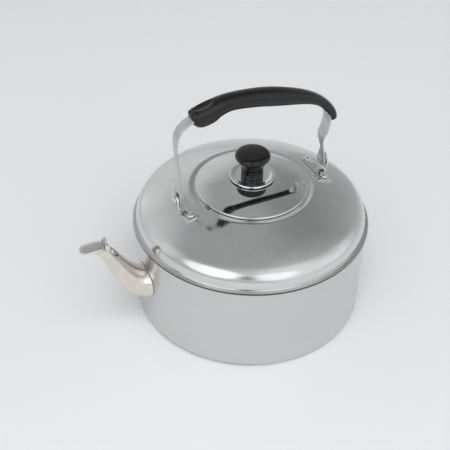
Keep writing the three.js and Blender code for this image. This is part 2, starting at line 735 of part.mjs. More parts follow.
function buildDish() {
  const floor = lidTopZ + GAP + SHEET;
  const path = [
    [DISH_RADIUS, dishZ - DISH_RIM],
    [DISH_RADIUS, dishZ - 0.5],
    [DISH_RADIUS - 0.5, dishZ],
    [DISH_RADIUS - 2, dishZ - 0.3],
    [DISH_RADIUS - 6, dishZ - 1.2],
    [DISH_WELL_RADIUS + 2, knobZ - GAP],
    [DISH_WELL_RADIUS, floor],
    [screwHole, floor],
  ];
  addPiece("knob_dish", turned(sheetProfile(path), 32), chromed);
}

function buildKnob() {
  const socket = INSERT_RADIUS + GAP;
  const socketTop = knobZ + INSERT_LENGTH + 2 * GAP;
  const top = knobZ + KNOB_HEIGHT;
  const groove = 0.5;
  const profile = [
    [0, socketTop],
    [socket, socketTop],
    [socket, knobZ],
    [KNOB_STEM_RADIUS, knobZ],
    [KNOB_STEM_RADIUS, knobZ + 2.6],
    [KNOB_STEM_RADIUS - groove, knobZ + 3],
    [KNOB_STEM_RADIUS - groove, knobZ + 3.4],
    [KNOB_STEM_RADIUS, knobZ + 3.8],
    [KNOB_STEM_RADIUS, top - 17],
    [KNOB_STEM_RADIUS + 1.4, top - 13.2],
    [KNOB_RADIUS - 1, top - 7.4],
    [KNOB_RADIUS, top - 5.2],
    [KNOB_RADIUS - 0.4, top - 3.2],
    [KNOB_RADIUS - 2.4, top - 1.4],
    [KNOB_RADIUS / 2, top - 0.3],
    [0, top],
  ];
  addPiece("knob", turned(profile, 32), phenolic);
}

function buildKnobFasteners() {
  const insertBottom = knobZ + GAP;
  const insert = rod([0, 0, insertBottom], [0, 0, insertBottom + INSERT_LENGTH], INSERT_RADIUS);
  const insertHole = rod([0, 0, 0], [0, 0, insertBottom + INSERT_LENGTH + 1], screwHole);
  addPiece("knob_insert", insert.subtract(insertHole), brass);

  const washerTop = lidTopZ - SHEET - GAP;
  const washerBottom = washerTop - LID_WASHER_THICKNESS;
  const washer = rod([0, 0, washerBottom], [0, 0, washerTop], LID_WASHER_RADIUS);
  const washerHole = rod([0, 0, washerBottom - 1], [0, 0, washerTop + 1], screwHole);
  addPiece("knob_washer", washer.subtract(washerHole), satinSteel);

  const headTop = washerBottom - GAP;
  const headBottom = headTop - SCREW_HEAD_HEIGHT;
  const shank = rod([0, 0, headBottom], [0, 0, insertBottom + INSERT_LENGTH], SCREW_RADIUS);
  const head = rod([0, 0, headBottom], [0, 0, headTop], SCREW_HEAD_RADIUS);
  const slot = new THREE.BoxGeometry(2 * SCREW_HEAD_RADIUS + 1, 1, 1.6);
  const screw = shank.add(head).subtract(solidOf(slot.translate(0, 0, headBottom)));
  addPiece("knob_screw", screw, satinSteel);
}

buildBody();
buildDome();
buildSpout();
buildHingeBracket();
buildHingePin();
buildFlap();
buildWhistlePlates();
buildBrackets();
buildRivets();
buildStrap();
buildGrip();
buildLid();
buildSkirt();
buildDish();
buildKnob();
buildKnobFasteners();

export default kettle;
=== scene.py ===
"""Looks of a stovetop whistling kettle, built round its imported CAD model.

The mesh helpers work in millimetres and write metres. The frame is the CAD's: +Z up, the
origin at the centre of the base, the spout along -X and the bail folding about the X axis.
"""
import json
import math

import bmesh
import bpy
from mathutils import Matrix, Vector


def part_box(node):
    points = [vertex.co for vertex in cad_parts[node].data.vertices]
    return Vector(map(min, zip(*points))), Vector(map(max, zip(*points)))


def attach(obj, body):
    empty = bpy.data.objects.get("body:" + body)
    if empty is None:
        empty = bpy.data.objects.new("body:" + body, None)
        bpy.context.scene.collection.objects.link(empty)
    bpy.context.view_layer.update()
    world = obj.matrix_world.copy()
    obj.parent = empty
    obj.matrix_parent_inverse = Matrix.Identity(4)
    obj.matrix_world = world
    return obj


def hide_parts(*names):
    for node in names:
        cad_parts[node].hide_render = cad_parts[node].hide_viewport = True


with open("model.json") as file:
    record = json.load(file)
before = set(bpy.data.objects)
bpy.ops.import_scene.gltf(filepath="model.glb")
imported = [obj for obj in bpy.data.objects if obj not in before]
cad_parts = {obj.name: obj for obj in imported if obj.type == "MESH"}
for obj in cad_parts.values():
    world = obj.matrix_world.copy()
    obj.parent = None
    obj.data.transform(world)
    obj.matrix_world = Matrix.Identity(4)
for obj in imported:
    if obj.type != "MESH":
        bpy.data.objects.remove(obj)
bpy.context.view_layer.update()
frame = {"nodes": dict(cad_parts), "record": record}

MM = 0.001
SHEET = 0.8  # body, dome, lid and spout sheet
GAP = 0.3  # between pieces that touch
TURNED_SIDES = 192  # round the kettle's own axis
SMALL_SIDES = 48  # round a rivet
SHARP_ANGLE = math.radians(32)  # edges over this stay sharp when shaded


# ---- mesh helpers ----


def box_mm(node):
    """Lowest and highest corners of a CAD node, in millimetres."""
    low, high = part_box(node)
    return low / MM, high / MM


def mesh_object(name, points, faces):
    """A smooth-shaded object from points in millimetres, sharp only at its real edges."""
    mesh = bpy.data.meshes.new(name)
    mesh.from_pydata([Vector(point) * MM for point in points], [], faces)
    return finished(name, mesh)


def finished(name, mesh):
    """An object from a mesh, with clean normals and its real edges marked sharp."""
    bm = bmesh.new()
    bm.from_mesh(mesh)
    bmesh.ops.remove_doubles(bm, verts=bm.verts, dist=0.5e-6)
    bmesh.ops.dissolve_degenerate(bm, edges=bm.edges, dist=0.5e-6)
    bmesh.ops.recalc_face_normals(bm, faces=bm.faces)
    for face in bm.faces:
        face.smooth = True
    for edge in bm.edges:
        edge.smooth = edge.calc_face_angle(0) < SHARP_ANGLE
    bm.to_mesh(mesh)
    bm.free()
    piece = bpy.data.objects.new(name, mesh)
    bpy.context.scene.collection.objects.link(piece)
    return piece


def place(piece, body, slot, material, *nodes):
    """Gives a piece its material and the body it rides on, and hides the nodes it stands for. The slot
    is not used.
    """
    piece.data.materials.clear()
    piece.data.materials.append(material)
    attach(piece, body)
    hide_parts(*nodes)


def modified(piece, *settings):
    """Applies modifiers, each given as (type, {property: value}), and keeps only the mesh."""
    for kind, values in settings:
        modifier = piece.modifiers.new(kind.lower(), kind)
        for key, value in values.items():
            setattr(modifier, key, value)
    bpy.context.view_layer.update()
    evaluated = piece.evaluated_get(bpy.context.evaluated_depsgraph_get())
    mesh = bpy.data.meshes.new_from_object(evaluated)
    name = piece.name
    bpy.data.objects.remove(piece)
    return finished(name, mesh)


def cut(piece, *cutters, operation="DIFFERENCE"):
    """The piece with other objects cut from it, or joined to it. The others are used up."""
    settings = [
        ("BOOLEAN", {"operation": operation, "object": cutter, "solver": "EXACT"}) for cutter in cutters
    ]
    made = modified(piece, *settings)
    for cutter in cutters:
        bpy.data.objects.remove(cutter)
    return made


def bevelled(piece, width, segments=3):
    """The piece with its sharp edges rounded by a width in millimetres."""
    settings = {
        "width": width * MM,
        "segments": segments,
        "limit_method": "ANGLE",
        "angle_limit": math.radians(40),
        "use_clamp_overlap": True,
    }
    return modified(piece, ("BEVEL", settings))


def arc(centre, size, start, end, steps=12):
    """Points of an arc between two angles in degrees."""
    made = []
    for i in range(steps + 1):
        angle = math.radians(start + (end - start) * i / steps)
        made.append((centre[0] + size * math.cos(angle), centre[1] + size * math.sin(angle)))
    return made


def rounded(corners, steps=6):
    """A path of (x, z) or (x, z, fillet radius) corners, with the fillets drawn as arcs."""
    path = []
    for i, corner in enumerate(corners):
        here = Vector(corner[:2])
        radius = corner[2] if len(corner) > 2 else 0
        if not radius or i in (0, len(corners) - 1):
            path.append(tuple(here))
            continue
        back = (Vector(corners[i - 1][:2]) - here).normalized()
        ahead = (Vector(corners[i + 1][:2]) - here).normalized()
        half = back.angle(ahead) / 2
        reach = radius / math.tan(half)
        middle = here + (back + ahead).normalized() * (radius / math.sin(half))
        start = here + back * reach - middle
        end = here + ahead * reach - middle
        turn = start.angle_signed(end)
        for k in range(steps + 1):
            point = Matrix.Rotation(-turn * k / steps, 2) @ start + middle
            path.append(tuple(point))
    return path


def bezier(points, steps):
    """Points of a cubic Bezier curve, without its first point."""
    a, b, c, d = [Vector(point) for point in points]
    made = []
    for i in range(1, steps + 1):
        t = i / steps
        s = 1 - t
        made.append(tuple(a * s**3 + b * 3 * s * s * t + c * 3 * s * t * t + d * t**3))
    return made


def sheet_outline(path, thickness=SHEET):
    """The closed outline of a sheet on the left of a path of (radius, z) points."""
    points = [Vector(point) for point in path]
    normals = []
    for here, after in zip(points, points[1:]):
        along = (after - here).normalized()
        normals.append(Vector((-along.y, along.x)))
    inner = []
    for i, point in enumerate(points):
        before = normals[max(i - 1, 0)]
        after = normals[min(i, len(normals) - 1)]
        inner.append(point + (before + after) / (1 + before.dot(after)) * thickness)
    return [tuple(point) for point in points + inner[::-1]]


def revolved(name, outline, sides=TURNED_SIDES, matrix=Matrix.Identity(4)):
    """A closed outline of (radius, z) points turned round the Z axis, then moved by a matrix."""
    points = []
    for k in range(sides):
        angle = 2 * math.pi * k / sides
        points += [
            matrix @ Vector((max(radius, 0) * math.cos(angle), max(radius, 0) * math.sin(angle), z))
            for radius, z in outline
        ]
    count = len(outline)
    faces = []
    for k in range(sides):
        this = k * count
        other = ((k + 1) % sides) * count
        for i in range(count):
            j = (i + 1) % count
            faces.append((this + i, this + j, other + j, other + i))
    return mesh_object(name, points, faces)


def along_x(x, y, z, end=1):
    """Stands a piece turned round Z along the X axis at a point, facing the given end."""
    return Matrix.Translation((x, y, z)) @ Matrix.Rotation(end * math.pi / 2, 4, "Y")


def along_y(x, z):
    """Stands a piece turned round Z along the Y axis, at a point of the XZ plane."""
    return Matrix.Translation((x, 0, z)) @ Matrix.Rotation(-math.pi / 2, 4, "X")


def along_normal(point, normal):
    """Stands a piece turned round Z on a surface at a point."""
    return Matrix.Translation(point) @ normal.to_track_quat("Z", "Y").to_matrix().to_4x4()


def skinned(name, rings, closed=True):
    """A skin over rings of points that all have the same count."""
    count = len(rings[0])
    faces = []
    for k in range(len(rings) - 1):
        for i in range(count):
            j = (i + 1) % count
            faces.append((k * count + i, k * count + j, (k + 1) * count + j, (k + 1) * count + i))
    if closed:
        faces.append(tuple(range(count)))
        last = (len(rings) - 1) * count
        faces.append(tuple(range(last, last + count)))
    return mesh_object(name, [point for ring in rings for point in ring], faces)


def chord(start, end, otherwise):
    """The square root of a distance, or another value where the two points meet."""
    root = (end - start).length_squared ** 0.25
    return root if root > 1e-4 else otherwise


def catmull(points, t):
    """A point of the centripetal Catmull-Rom curve through points of any dimension."""
    place_on = (len(points) - 1) * t
    i = min(int(place_on), len(points) - 2)
    weight = place_on - i
    p1, p2 = points[i], points[i + 1]
    p0 = points[i - 1] if i > 0 else p1 * 2 - p2
    p3 = points[i + 2] if i + 2 < len(points) else p2 * 2 - p1
    d1 = chord(p1, p2, 1.0)
    d0 = chord(p0, p1, d1)
    d2 = chord(p2, p3, d1)
    start = ((p1 - p0) / d0 - (p2 - p0) / (d0 + d1) + (p2 - p1) / d1) * d1
    end = ((p2 - p1) / d1 - (p3 - p1) / (d1 + d2) + (p3 - p2) / d2) * d1
    return (
        p1
        + start * weight
        + ((p2 - p1) * 3 - start * 2 - end) * weight**2
        + ((p1 - p2) * 2 + start + end) * weight**3
    )


SIDEWAYS = Vector((0, 1, 0))


def stations(rows, steps):
    """Sections along a smooth line in the XZ plane: (centre, across, half height, half width)."""
    centres = [Vector((row[0], 0, row[1])) for row in rows]
    sizes = [Vector((row[2], row[-1], 0)) for row in rows]
    nudge = 1e-4  # either side of a station, to find which way the line runs there
    made = []
    for i in range(steps + 1):
        t = i / steps
        ahead = catmull(centres, min(t + nudge, 1))
        behind = catmull(centres, max(t - nudge, 0))
        along = (ahead - behind).normalized()
        size = catmull(sizes, t)
        made.append((catmull(centres, t), Vector((-along.z, 0, along.x)), size.x, size.y))
    return made


def section(station, shape, grow=0):
    """A ring of points from a shape of (up, side) shares and a station."""
    centre, across, high, wide = station
    return [
        centre + across * (up * (high + grow)) + SIDEWAYS * (side * (wide + grow))
        for up, side in shape
    ]


def oval(sides, power=2.0):
    """A superellipse as (up, side) shares; power 2 is an ellipse and more is boxier."""
    made = []
    for i in range(sides):
        angle = 2 * math.pi * i / sides
        up, side = math.cos(angle), math.sin(angle)
        up = math.copysign(abs(up) ** (2 / power), up)
        side = math.copysign(abs(side) ** (2 / power), side)
        made.append((up, side))
    return made


def block(name, low, high, bevel=0.0):
    """A box between two corners, with rounded edges."""
    points = [
        (x, y, z) for x in (low[0], high[0]) for y in (low[1], high[1]) for z in (low[2], high[2])
    ]
    faces = [(0, 1, 3, 2), (4, 6, 7, 5), (0, 4, 5, 1), (2, 3, 7, 6), (0, 2, 6, 4), (1, 5, 7, 3)]
    made = mesh_object(name, points, faces)
    return bevelled(made, bevel) if bevel else made


# ---- sizes read from the frame ----

body_high = box_mm("body_shell")[1]
dome_low, dome_high = box_mm("dome_shell")
strap_low = box_mm("bail_strap")[0]
lid_low, lid_high = box_mm("lid_shell")
dish_high = box_mm("knob_dish")[1]
knob_low, knob_high = box_mm("knob")
spout_high = box_mm("spout")[1]
bracket_high = box_mm("bracket_rear")[1]
pivot_low, pivot_high = box_mm("pivot_rivet_rear")
pin_low, pin_high = box_mm("flap_hinge_pin")
flap_low, flap_high = box_mm("whistle_flap")

# ---- sizes that the frame doesn't hold ----

FLANGE = 0.8  # how far the body's rim turns out under the dome's bead
SPOUT_BASE_Z = 58.5  # where the spout's middle line meets the wall
RECESS_RADIUS = 62.6  # of the step down round the lid
RECESS_DEPTH = 1.0
NECK_RADIUS = 53.1  # of the filling hole
NECK_DEPTH = 7.5
STRAP_BULGE = 2.8  # how far the front leg swells out past its pivot
HALF_THICKNESS = 1.0  # of the strap
SCREW_HOLE = 2.3  # radius, through the lid and the dish
WELL_RADIUS = 8  # of the dish under the knob, where the lid is flat
LUG_THICKNESS = 1.2  # of the ears that hold the flap's pin
LEG_LENGTH = 6  # of the ears' legs, from the pin down

wall_radius = body_high.x - FLANGE
seam_bottom = dome_low.z
seam_top = body_high.z + GAP + SHEET
crown_top = dome_high.z
seat_z = crown_top - RECESS_DEPTH
pivot_x = -strap_low.x - STRAP_BULGE
pivot_z = (pivot_low.z + pivot_high.z) / 2
hinge_x = (pin_low.x + pin_high.x) / 2
hinge_z = (pin_low.z + pin_high.z) / 2


# ---- materials ----


def node_maker(owner):
    """A function that adds a node to a material or a world, with its inputs set or linked."""
    tree = owner.node_tree

    def add(kind, inputs=None, **settings):
        made = tree.nodes.new(kind)
        for key, value in settings.items():
            setattr(made, key, value)
        for key, value in (inputs or {}).items():
            if isinstance(value, bpy.types.NodeSocket):
                tree.links.new(value, made.inputs[key])
            else:
                made.inputs[key].default_value = value
        return made

    return add


def new_material(name):
    """An empty material with its shader and a coordinate in the object's own metres."""
    material = bpy.data.materials.new(name)
    material.use_nodes = True
    material.node_tree.nodes.clear()
    add = node_maker(material)
    shader = add("ShaderNodeBsdfPrincipled")
    add("ShaderNodeOutputMaterial", {"Surface": shader.outputs["BSDF"]})
    coordinates = add("ShaderNodeTexCoord").outputs["Object"]
    return material, add, shader, coordinates


def stretched(add, coordinates, scale):
    """The coordinates multiplied by a scale for each axis."""
    return add("ShaderNodeMapping", {"Vector": coordinates, "Scale": scale}).outputs["Vector"]


def ramp(add, value, low, high, start=0.0, end=1.0):
    """Maps a 0 to 1 value between two numbers."""
    return add(
        "ShaderNodeMapRange",
        {"Value": value, "From Min": start, "From Max": end, "To Min": low, "To Max": high},
    ).outputs["Result"]


def blend_colours(add, factor, first, second):
    """The colour a share of the way from the first to the second."""
    mix = add("ShaderNodeMix", data_type="RGBA")
    mix.id_data.links.new(factor, mix.inputs["Factor"])
    mix.inputs["A"].default_value = (*first, 1)
    mix.inputs["B"].default_value = (*second, 1)
    return mix.outputs["Result"]


def noise(add, coordinates, scale, detail, roughness=0.5):
    """Smooth random values round 0.5."""
    return add(
        "ShaderNodeTexNoise",
        {"Vector": coordinates, "Scale": scale, "Detail": detail, "Roughness": roughness},
    ).outputs["Fac"]


def total_of(add, first, second):
    """The sum of two values."""
    return add("ShaderNodeMath", {0: first, 1: second}, operation="ADD").outputs["Value"]


def bump_from(add, height, strength, distance):
    """A normal tilted by a height, which counts for a distance in metres."""
    return add(
        "ShaderNodeBump", {"Height": height, "Strength": strength, "Distance": distance}
    ).outputs["Normal"]


def feed(shader, inputs):
    """Links each of a shader's inputs to the output given for it."""
    for key, output in inputs.items():
        shader.id_data.links.new(output, shader.inputs[key])


def brushed_metal(name, dark, light, roughness, lines, bump, anisotropy=0.0):
    """Sheet metal brushed in rings round the kettle's axis, with so many lines to the metre."""
    material, add, shader, coordinates = new_material(name)
    parts = add("ShaderNodeSeparateXYZ", {"Vector": coordinates}).outputs
    flat = add("ShaderNodeCombineXYZ", {"X": parts["X"], "Y": parts["Y"]}).outputs["Vector"]
    radius = add("ShaderNodeVectorMath", {0: flat}, operation="LENGTH").outputs["Value"]
    depth = total_of(add, radius, parts["Z"])
    rings = add(
        "ShaderNodeCombineXYZ", {"X": parts["X"], "Y": parts["Y"], "Z": depth}
    ).outputs["Vector"]
    fine = noise(add, stretched(add, rings, (14, 14, lines)), 1.0, 3.0, 0.6)
    broad = noise(add, stretched(add, rings, (6, 6, lines / 9)), 1.0, 2.0)
    tone = ramp(add, total_of(add, fine, broad), 0, 1, 0.7, 1.3)
    shader.inputs["Metallic"].default_value = 1.0
    feed(shader, {
        "Base Color": blend_colours(add, tone, dark, light),
        "Roughness": ramp(add, tone, *roughness),
        "Normal": bump_from(add, fine, bump, 0.00005),
    })
    if anisotropy:
        shader.inputs["Anisotropic"].default_value = anisotropy
        shader.inputs["Anisotropic Rotation"].default_value = 0.25
        tangent = add("ShaderNodeTangent", direction_type="RADIAL", axis="Z")
        feed(shader, {"Tangent": tangent.outputs["Tangent"]})
    return material


def polished_metal(name, dark, light, roughness, cloud=60.0, bump=0.02):
    """Buffed or plated metal: faint clouding, fine wiping marks and a slight hand-made ripple."""
    material, add, shader, coordinates = new_material(name)
    clouds = noise(add, coordinates, cloud, 4.0, 0.55)
    marks = noise(add, stretched(add, coordinates, (160, 60, 260)), 1.0, 2.0)
    waves = noise(add, coordinates, 45.0, 1.0)
    shader.inputs["Metallic"].default_value = 1.0
    feed(shader, {
        "Base Color": blend_colours(add, ramp(add, clouds, 0, 1, 0.35, 0.65), dark, light),
        "Roughness": ramp(add, total_of(add, clouds, marks), *roughness, 0.7, 1.3),
        "Normal": bump_from(add, waves, bump, 0.002),
    })
    return material


def moulded_plastic(name, dark, light, roughness):
    """Black phenolic: faint mottling, fine moulded grain and a soft gloss."""
    material, add, shader, coordinates = new_material(name)
    mottle = noise(add, coordinates, 170.0, 5.0, 0.6)
    grain = noise(add, coordinates, 1500.0, 2.0)
    shader.inputs["Specular IOR Level"].default_value = 0.45
    feed(shader, {
        "Base Color": blend_colours(add, ramp(add, mottle, 0, 1, 0.35, 0.65), dark, light),
        "Roughness": ramp(add, mottle, *roughness, 0.3, 0.7),
        "Normal": bump_from(add, grain, 0.12, 0.0001),
    })
    return material


satin = brushed_metal(
    "satin_steel", (0.64, 0.64, 0.635), (0.66, 0.66, 0.655), (0.28, 0.30),
    lines=5200, bump=0.03, anisotropy=0.4,
)
# Painted shade: a near-black metal for the bead's outer and lower faces, standing in for the shade and
# dark reflections round the seam.
bead_painted_shade = brushed_metal(
    "bead_painted_shade", (0.085, 0.085, 0.08), (0.12, 0.12, 0.115), (0.16, 0.24), lines=9000, bump=0.1
)
dome_steel = polished_metal(
    "buffed_steel", (0.67, 0.672, 0.67), (0.71, 0.712, 0.71), (0.08, 0.12), bump=0.006
)
polished = polished_metal(
    "polished_steel", (0.66, 0.665, 0.66), (0.72, 0.722, 0.72), (0.03, 0.055), bump=0.008
)
strap_metal = polished_metal(
    "satin_strap", (0.54, 0.54, 0.55), (0.60, 0.60, 0.61), (0.22, 0.26), bump=0.004
)
nickel = polished_metal(
    "nickel_plate", (0.72, 0.68, 0.61), (0.78, 0.74, 0.67), (0.04, 0.08), cloud=90
)
satin_nickel = polished_metal(
    "satin_nickel", (0.70, 0.69, 0.66), (0.76, 0.75, 0.72), (0.18, 0.26), cloud=90, bump=0.008
)
chrome = polished_metal(
    "chrome_plate", (0.76, 0.77, 0.78), (0.8, 0.81, 0.82), (0.02, 0.05), cloud=120
)
brass = polished_metal("brass", (0.5, 0.36, 0.13), (0.6, 0.44, 0.18), (0.25, 0.4))
phenolic = moulded_plastic(
    "black_phenolic", (0.003, 0.003, 0.0035), (0.006, 0.006, 0.007), (0.07, 0.12)
)


# ---- body and dome ----


def build_body():
    """The body's shell, with the strainer drilled through its wall behind the spout."""
    corner = 7
    path = [
        (0, 0),
        *arc((wall_radius - corner, corner), corner, -90, 0, 14),
        (wall_radius, body_high.z - SHEET),
        (body_high.x, body_high.z - SHEET),
    ]
    body = revolved("body", sheet_outline(path))
    ring_radius = 10.5
    hole_radius = 3.6
    reach = 6
    places = [(0, 0)] + [
        (ring_radius * math.cos(math.pi * i / 3), ring_radius * math.sin(math.pi * i / 3))
        for i in range(6)
    ]
    drill = [(0, -reach), (hole_radius, -reach), (hole_radius, reach), (0, reach)]
    drills = [
        revolved(f"drill{i}", drill, 32, along_x(-wall_radius, y, SPOUT_BASE_Z + up))
        for i, (y, up) in enumerate(places)
    ]
    body = cut(body, *drills)
    place(body, "kettle", "satin_steel", satin, "body_shell")


def slope_step(degrees, length):
    """A step inwards and up a slope."""
    angle = math.radians(degrees)
    return Vector((-math.cos(angle) * length, math.sin(angle) * length))


def dome_path():
    """The dome's outer face, from the return under the bead to the end of the neck."""
    inset = 1.6
    side = wall_radius - inset
    upright = 2.8
    bead_roll = 1.25
    shoulder_radius = 19
    shoulder_slope = 27
    crown_slope = 17.8
    step = 14
    shoulder = arc(
        (side - shoulder_radius, seam_top + upright), shoulder_radius, 0, 90 - shoulder_slope, 24
    )
    start = Vector(shoulder[-1])
    edge = Vector((RECESS_RADIUS, crown_top))
    crown = bezier(
        [
            start,
            start + slope_step(shoulder_slope, step),
            edge - slope_step(crown_slope, step),
            edge,
        ],
        24,
    )
    return [
        *rounded([
            (wall_radius + GAP, seam_bottom),
            (dome_high.x, seam_bottom, bead_roll),
            (dome_high.x, seam_top, bead_roll),
            (side, seam_top, 0.5),
            shoulder[0],
        ])[:-1],
        *shoulder,
        *crown[:-1],
        *rounded([
            crown[-2],
            (RECESS_RADIUS, crown_top, 5),
            (RECESS_RADIUS - 4, seat_z, 3),
            (NECK_RADIUS, seat_z, 1.2),
            (NECK_RADIUS, seat_z - NECK_DEPTH),
        ])[1:],
    ]


dome_face = dome_path()


def dome_height(radius):
    """The height of the dome's outer face at a distance from the kettle's axis."""
    for (r0, z0), (r1, z1) in zip(dome_face, dome_face[1:]):
        if r1 <= radius < r0 and z1 > seam_top:
            return z0 + (z1 - z0) * (r0 - radius) / (r0 - r1)
    return crown_top


def build_dome():
    """The dome, with painted shade on its rolled bead: its outer and lower faces take a dark metal that
    stands in for shade and dark reflections.
    """
    dome = revolved("dome", sheet_outline(dome_face))
    place(dome, "kettle", "polished_steel", dome_steel, "dome_shell")
    dome.data.materials.append(bead_painted_shade)
    # Faces on the bead's outer and lower side, below its top, take the painted shade.
    shade_band_inner = wall_radius - 0.9
    shade_band_top = seam_top - 0.3
    for face in dome.data.polygons:
        centre = face.center / MM
        if centre.z < shade_band_top and math.hypot(centre.x, centre.y) > shade_band_inner:
            face.material_index = 1


# ---- spout ----

# Along the middle line: share of the reach, share of the rise, and radius.
spout_rows = [
    (-0.235, -0.021, 20.4),
    (-0.039, -0.011, 19.6),
    (0.161, 0.056, 16.4),
    (0.298, 0.172, 13.6),
    (0.439, 0.357, 11),
    (0.569, 0.574, 9),
    (0.714, 0.809, 7.4),
    (0.824, 0.932, 6.8),
    (0.922, 1.026, 7.8),
    (1, 1.13, 9.6),
]


def spout_stations():
    """Sections of the whole spout, run on into the wall and past the mouth."""
    reach = 52
    rise = spout_high.z - SPOUT_BASE_Z
    rows = [
        (-wall_radius - out * reach, SPOUT_BASE_Z + up * rise, radius, radius)
        for out, up, radius in spout_rows
    ]
    return stations(rows, 160)


def clipped(line, inside, count):
    """A line of points cut to where inside() isn't negative, then spaced evenly."""
    kept = []
    for here, after in zip(line, line[1:]):
        depth, next_depth = inside(here), inside(after)
        if depth >= 0 and not kept:
            kept.append(here)
        if (depth >= 0) != (next_depth >= 0):
            kept.append(here.lerp(after, depth / (depth - next_depth)))
            if depth >= 0:
                break
        if next_depth >= 0:
            kept.append(after)
    lengths = [0.0]
    for here, after in zip(kept, kept[1:]):
        lengths.append(lengths[-1] + (after - here).length)
    spaced = []
    k = 0
    for i in range(count):
        wanted = lengths[-1] * i / (count - 1)
        while k < len(kept) - 2 and lengths[k + 1] < wanted:
            k += 1
        span = lengths[k + 1] - lengths[k]
        share = (wanted - lengths[k]) / span if span > 1e-9 else 0
        spaced.append(kept[k].lerp(kept[k + 1], min(max(share, 0), 1)))
    return spaced


def build_spout():
    """An open tube from the wall to the level mouth."""
    sides = 64
    rows = 110
    mouth_z = spout_high.z

    def inside_spout(point):
        """How far a point is out from the wall and under the mouth, whichever is less."""
        return min(math.hypot(point.x, point.y) - wall_radius - GAP, mouth_z - point.z)

    made = spout_stations()
    skins = []
    for grow in (0, -SHEET):
        rings = [section(station, oval(sides), grow) for station in made]
        lines = [[ring[i] for ring in rings] for i in range(sides)]
        cut_lines = [clipped(line, inside_spout, rows) for line in lines]
        skins.append([[line[k] for line in cut_lines] for k in range(rows)])
    outer, inner = skins
    rings = outer + inner[::-1]
    spout = skinned("spout", rings + rings[:1], closed=False)
    place(bevelled(spout, 0.22, 2), "kettle", "nickelled_steel", nickel, "spout")


def build_hinge():
    """The flap's pin with a head at each end, and the bracket that holds it."""
    half = (pin_high.y - pin_low.y) / 2
    radius = (pin_high.z - pin_low.z) / 2
    head = 1.0
    shank = 0.8
    outer_edge = 0.5
    inner_edge = 0.3
    outline = [
        (0, -half),
        *arc((radius - 0.6, outer_edge - half), outer_edge, -90, 0, 5),
        *arc((radius - 0.5, head - inner_edge - half), inner_edge, 0, 90, 3),
        (shank, head - half),
    ]
    outline += [(out, -along) for out, along in outline[::-1]]
    pin = revolved("flap_pin", outline, 32, along_y(hinge_x, hinge_z))
    place(pin, "kettle", "nickelled_steel", chrome, "flap_hinge_pin")
    inner = half - head - LUG_THICKNESS - GAP
    lugs = [
        hinge_lug(f"lug{side:+d}", side * inner, side * (inner + LUG_THICKNESS)) for side in (1, -1)
    ]
    overlap = 0.2  # of the bridge into the ears, so that they join
    bridge_low = (hinge_x - 1.2, -inner - overlap, hinge_z - LEG_LENGTH)
    bridge_high = (hinge_x + 1.8, inner + overlap, hinge_z - 3.4)
    bridge = block("hinge_bridge", bridge_low, bridge_high, 0.3)
    bracket = cut(bridge, *lugs, operation="UNION")
    place(bevelled(bracket, 0.25), "kettle", "nickelled_steel", nickel, "flap_hinge_bracket")


def hinge_lug(name, start, end):
    """An ear round the hinge pin, with a leg down into the spout."""
    eye = arc((hinge_x, hinge_z), 2.4, -10, 190, 24)
    leg_end = hinge_z - LEG_LENGTH
    profile = [*eye, (hinge_x - 2.0, leg_end), (hinge_x + 2.6, leg_end)]
    points = [(x, y, z) for y in (start, end) for x, z in profile]
    count = len(profile)
    faces = [tuple(range(count)), tuple(range(count, 2 * count))]
    for i in range(count):
        k = (i + 1) % count
        faces.append((i, k, k + count, i + count))
    return mesh_object(name, points, faces)


def soften(name, node, width, slot, material):
    """A copy of a CAD solid with its flat facets merged and its edges rounded."""
    mesh = frame["nodes"][node].data.copy()
    bm = bmesh.new()
    bm.from_mesh(mesh)
    bmesh.ops.remove_doubles(bm, verts=bm.verts, dist=2e-6)
    bmesh.ops.dissolve_limit(
        bm,
        angle_limit=math.radians(2),
        verts=bm.verts,
        edges=bm.edges,
        use_dissolve_boundaries=False,
    )
    bm.to_mesh(mesh)
    bm.free()
    bodies = frame["record"]["behaviour"]["bodies"]
    body = next(body for body, nodes in bodies.items() if node in nodes)
    place(bevelled(finished(name, mesh), width), body, slot, material, node)


# ---- whistle flap ----


FLAP_SKIN = 0.7
FLAP_RIM = 0.9  # height of the flap's upright edge
FLAP_HEIGHT = 2.9
flap_middle = hinge_x - 10.5


def flap_outline(inset, sides=96):
    """The flap's outline, blunt at its hinge and drawn out at its front, as points."""
    rear = hinge_x - 1.9 - inset
    front = flap_low.x + inset
    half = flap_high.y - inset
    made = []
    for up, side in oval(sides, 2.7):
        reach = rear - flap_middle if up > 0 else flap_middle - front
        made.append(Vector((flap_middle + up * reach, side * half, 0)))
    return made


def flap_rings(inset):
    """Rings of one face of the flap's domed skin, from its lower edge up to its middle."""
    bottom = flap_low.z
    height = FLAP_HEIGHT - inset
    outline = flap_outline(inset)
    middle = Vector((flap_middle, 0, 0))
    rings = [[point + Vector((0, 0, bottom)) for point in outline]]
    steps = 16
    for k in range(steps):
        angle = math.pi / 2 * k / steps
        scale = math.cos(angle) ** 0.8
        z = bottom + FLAP_RIM - inset / 2 + (height - FLAP_RIM) * math.sin(angle)
        rings.append([middle + (point - middle) * scale + Vector((0, 0, z)) for point in outline])
    return rings


